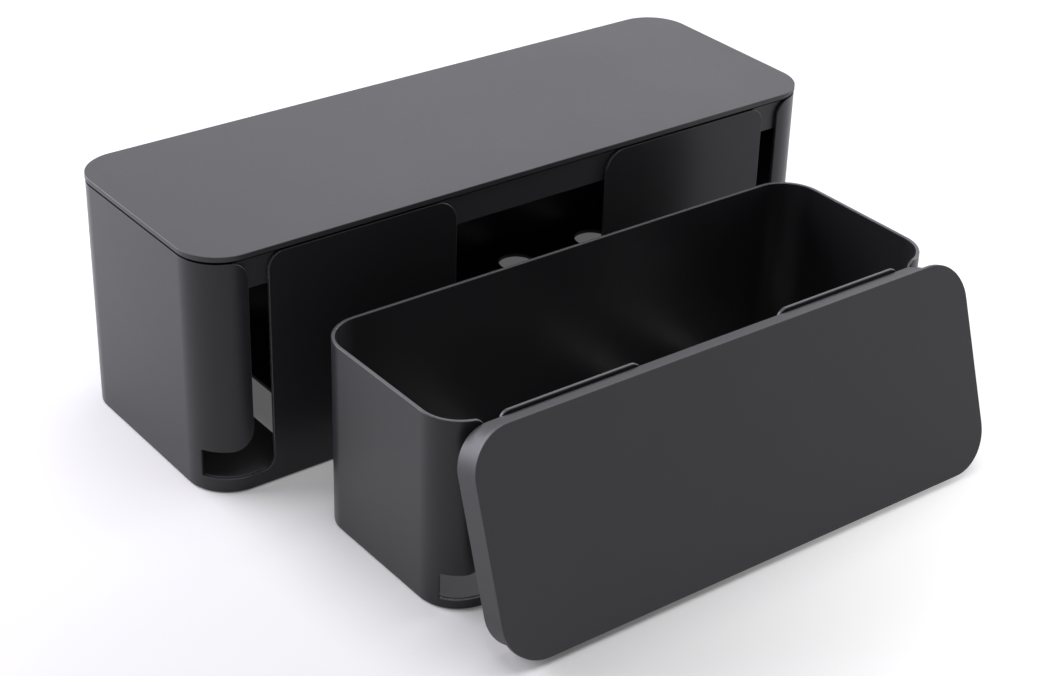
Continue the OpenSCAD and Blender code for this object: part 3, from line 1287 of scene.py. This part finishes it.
# The set is centred front to back on its own outline
PLATE_HALF = SMALL_PRINT.width / 2 + MOULDS.overhang - MOULDS.lid_edge
PLATE_REACH = PLATE_HALF * math.sin(LEAN) + MOULDS.lid_edge * (1 - math.cos(LEAN))
BOXES_DEPTH = LARGE_PRINT.width + BOX_GAP + SMALL_PRINT.width
SET_BACK = (MOULDS.overhang + BOXES_DEPTH + LEAN_REACH + PLATE_REACH) / 2
LARGE_Y = SET_BACK - MOULDS.overhang - LARGE_PRINT.width / 2
SMALL_Y = LARGE_Y - (LARGE_PRINT.width + SMALL_PRINT.width) / 2 - BOX_GAP
LEANING_Y = SMALL_Y - SMALL_PRINT.width / 2 - LEAN_REACH

LARGE_BOX = CableBox(
    name="large",
    body="large_box",
    lid_body="large_lid",
    footprint=LARGE_PRINT,
    rim=LARGE_RIM,
    base_top=8.5 * MM,
    lid_depth=21 * MM,
    openings=Openings(
        inset=25.8 * MM,
        slot=11.5 * MM,
        leg=16 * MM,
        turn=66,
        middle=99 * MM,
        panel=13 * MM,
        panel_slot=9.5 * MM,
        flap_top=10 * MM,
        flap_bottom=12 * MM,
        floor=7 * MM,
    ),
    vents=Vents(inset=64.5 * MM, pitch=58.5 * MM, width=22 * MM, margin=14 * MM),
    place=Matrix.Translation((0, LARGE_Y, 0)),
    lid_place=Matrix.Translation((0, LARGE_Y, LARGE_RIM + MOULDS.groove + MOULDS.plate)),
    lid_on=True,
)
SMALL_BOX = CableBox(
    name="small",
    body="small_box",
    lid_body="small_lid",
    footprint=SMALL_PRINT,
    rim=105.5 * MM,
    base_top=5.6 * MM,
    lid_depth=SMALL_LID_DEPTH,
    openings=Openings(
        inset=20.5 * MM,
        slot=8.8 * MM,
        leg=14 * MM,
        turn=59,
        middle=88 * MM,
        panel=6 * MM,
        panel_slot=5 * MM,
        flap_top=5 * MM,
        flap_bottom=8 * MM,
        floor=5.5 * MM,
    ),
    vents=Vents(inset=52 * MM, pitch=52 * MM, width=18 * MM, margin=13 * MM),
    place=Matrix.Translation((SMALL_X, SMALL_Y, 0)),
    lid_place=Matrix.Translation((LEANING_X, LEANING_Y, LEAN_HEIGHT))
    @ Matrix.Rotation(math.pi / 2 - LEAN, 4, "X"),
    lid_on=False,
)


# ---------------------------------------------------------------------------
# The studio
# ---------------------------------------------------------------------------


@dataclass(frozen=True)
class SoftLight:
    """Square soft light.

    Attributes:
        name: Its name.
        place: Where it hangs.
        aim: What it points at.
        width: Its width.
        height: Its height.
        watts: Its power.
        colour: Its colour, linear.
    """

    name: str
    place: tuple[float, float, float]
    aim: tuple[float, float, float]
    width: float
    height: float
    watts: float
    colour: tuple[float, float, float] = (1.0, 1.0, 1.0)

    def hang(self) -> None:
        """Adds the light to the scene."""
        data = bpy.data.lights.new(self.name, "AREA")
        data.shape, data.size, data.size_y = "RECTANGLE", self.width, self.height
        data.energy, data.color = self.watts, self.colour
        light = put_in_scene(self.name, data)
        light.location = self.place
        toward = Vector(self.aim) - Vector(self.place)
        light.rotation_euler = toward.to_track_quat("-Z", "Y").to_euler()


@dataclass(frozen=True)
class Eye:
    """The camera.

    Attributes:
        place: Where it stands.
        azimuth: Which way it looks, in degrees from +Y towards -X.
        elevation: How far it looks down, in degrees.
        roll: How far it is turned about its own axis, in degrees.
        focal: Focal length in millimetres.
        sensor: Width of the sensor in millimetres.
        near: Nearest distance that it sees.
        far: Farthest distance that it sees.
    """

    place: tuple[float, float, float]
    azimuth: float
    elevation: float
    roll: float
    focal: float
    sensor: float = 36.0
    near: float = 0.05
    far: float = 20.0

    def set_up(self) -> None:
        """Adds the camera and makes it the scene's."""
        angles = (self.azimuth, self.elevation, self.roll)
        turn, tilt, roll = (math.radians(value) for value in angles)
        level = math.cos(tilt)
        back = Vector((math.sin(turn) * level, -math.cos(turn) * level, math.sin(tilt)))
        right = Vector((0, 0, 1)).cross(back).normalized()
        up = back.cross(right)
        right, up = (
            math.cos(roll) * right + math.sin(roll) * up,
            -math.sin(roll) * right + math.cos(roll) * up,
        )
        data = bpy.data.cameras.new("eye")
        data.sensor_fit, data.sensor_width, data.lens = "HORIZONTAL", self.sensor, self.focal
        data.clip_start, data.clip_end = self.near, self.far
        camera = put_in_scene("eye", data)
        axes = Matrix((right, up, back)).transposed().to_4x4()
        camera.matrix_world = Matrix.Translation(self.place) @ axes
        bpy.context.scene.camera = camera


VIOLET = (0.955, 0.93, 1.0)
LIGHTS = (
    SoftLight("overhead", (0.05, 0.0, 1.7), (0.0, 0.0, 0.05), 1.5, 1.2, 15.0),
    SoftLight("low_behind_left", (-0.95, 1.5, 0.75), (0.0, 0.0, 0.08), 2.0, 1.2, 57.0, VIOLET),
    SoftLight("right", (1.6, -0.1, 0.7), (0.0, 0.0, 0.08), 1.1, 0.9, 13.0),
    SoftLight("behind_right", (1.0, 1.29, 0.97), (0.0, 0.05, 0.1), 1.3, 1.1, 4.3, VIOLET),
)
EYE = Eye(
    place=(-0.64408, -0.80048, 0.63074), azimuth=-37.82, elevation=29.59, roll=1.84, focal=74.487
)


@dataclass(frozen=True)
class Studio:
    """Pale floor, soft lights, surroundings and camera.

    Attributes:
        floor_half: Half of the floor's side.
        floor_drop: How far the floor lies below the object.
        floor_colour: Colour of the floor, linear.
        floor_sheen: Strength of its sheen.
        floor_rough: Its least roughness.
        mottle: How much the roughness rises in the mottle.
        mottle_scale: Scale of the mottle.
        plain_glow: Glow of the whole floor where it is seen.
        ahead: Shares of +X and -Y in the direction in which the painted front light rises.
        painted_front_light: Where the painted light in front starts and ends along that direction,
            and its strength.
        far_glow: Where the glow far off starts and ends, and its strength.
        world_light: Strength of the surroundings where they light the object.
        world_tint: Their colour where they aren't seen by the camera, linear.
    """

    floor_half: float = 4.0
    floor_drop: float = 0.02 * MM
    floor_colour: tuple[float, float, float, float] = (0.86, 0.86, 0.87, 1)
    floor_sheen: float = 0.1
    floor_rough: float = 0.85
    mottle: float = 0.1
    mottle_scale: float = 3.0
    plain_glow: float = 0.1
    ahead: tuple[float, float] = (0.6, 0.8)
    painted_front_light: tuple[float, float, float] = (0.05, 0.3, 0.45)
    far_glow: tuple[float, float, float] = (0.8, 1.8, 0.95)
    world_light: float = 0.05
    world_tint: tuple[float, float, float, float] = (0.985, 0.965, 1.035, 1)

    def shown_only(self, tree: Tree) -> bpy.types.NodeSocket:
        """Gives 1 for rays that show the surroundings and 0 for those that light the object."""
        path = tree.add("ShaderNodeLightPath").outputs
        seen = tree.math("MAXIMUM", path["Is Camera Ray"], path["Is Transmission Ray"])
        return tree.math("MAXIMUM", seen, path["Is Glossy Ray"])

    def floor_glow(self, tree: Tree, place: bpy.types.NodeSocket) -> bpy.types.NodeSocket:
        """Gives the floor's glow, which is stronger far off and, as painted light, stronger in
        front, for the camera alone.

        Args:
            tree: Tree of the floor's material.
            place: Place on the floor.

        Returns:
            The strength.
        """
        axes = tree.add("ShaderNodeSeparateXYZ", {0: place}).outputs
        across, forward = (tree.scaled(axes[i], self.ahead[i]) for i in (0, 1))
        # Painted light: for the camera the floor is brightened in front of the boxes, lifting
        # their shadow
        front = tree.fade(tree.math("SUBTRACT", across, forward), *self.painted_front_light)
        reach = tree.add("ShaderNodeVectorMath", {0: place}, operation="LENGTH").outputs["Value"]
        far = tree.fade(reach, *self.far_glow)
        camera = tree.add("ShaderNodeLightPath").outputs["Is Camera Ray"]
        plain = tree.scaled(self.shown_only(tree), self.plain_glow)
        return tree.math("ADD", plain, tree.scaled(camera, tree.math("MAXIMUM", front, far)))

    def lay_floor(self) -> None:
        """Adds the floor, which is pale and keeps the object's shadow."""
        builder = Builder()
        size = self.floor_half
        square = ((-size, -size, 0), (size, -size, 0), (size, size, 0), (-size, size, 0))
        builder.cap([builder.loop(square)], flip=False)
        floor = builder.finish("studio_floor", Matrix.Translation((0, 0, -self.floor_drop)))
        material = bpy.data.materials.new("studio_floor")
        material.use_nodes = True
        tree = Tree(material.node_tree)
        place = tree.add("ShaderNodeTexCoord").outputs["Object"]
        mottle = tree.scaled(tree.noise(place, self.mottle_scale, 2.0), self.mottle)
        surface = {
            "Base Color": self.floor_colour,
            "Specular IOR Level": self.floor_sheen,
            "Roughness": tree.math("ADD", self.floor_rough, mottle),
            "Emission Color": (1, 1, 1, 1),
            "Emission Strength": self.floor_glow(tree, place),
        }
        tree.feed(material.node_tree.nodes["Principled BSDF"], surface)
        floor.data.materials.append(material)

    def surround(self) -> None:
        """Sets the surroundings: white where they are seen, dim where they light the object."""
        world = bpy.data.worlds.new("studio")
        world.use_nodes = True
        tree = Tree(world.node_tree)
        camera = tree.add("ShaderNodeLightPath").outputs["Is Camera Ray"]
        background = {
            "Color": tree.mix(camera, self.world_tint, (1, 1, 1, 1)),
            "Strength": tree.math("MAXIMUM", self.shown_only(tree), self.world_light),
        }
        tree.feed(world.node_tree.nodes["Background"], background)
        bpy.context.scene.world = world

    def open(self) -> None:
        """Sets up the whole studio."""
        bpy.context.scene.view_settings.view_transform = "Standard"
        self.lay_floor()
        self.surround()
        for light in LIGHTS:
            light.hang()
        EYE.set_up()


def main() -> None:
    """Builds both boxes and the studio."""
    logging.basicConfig(level=logging.INFO, format="%(name)s: %(message)s")
    finisher = Finisher()
    plate_tree, foot_tree = vented_plate_tree(), feet_tree()
    for box in (LARGE_BOX, SMALL_BOX):
        box.build(finisher, plate_tree, foot_tree)
    Studio().open()


if __name__ == "__main__":
    main()
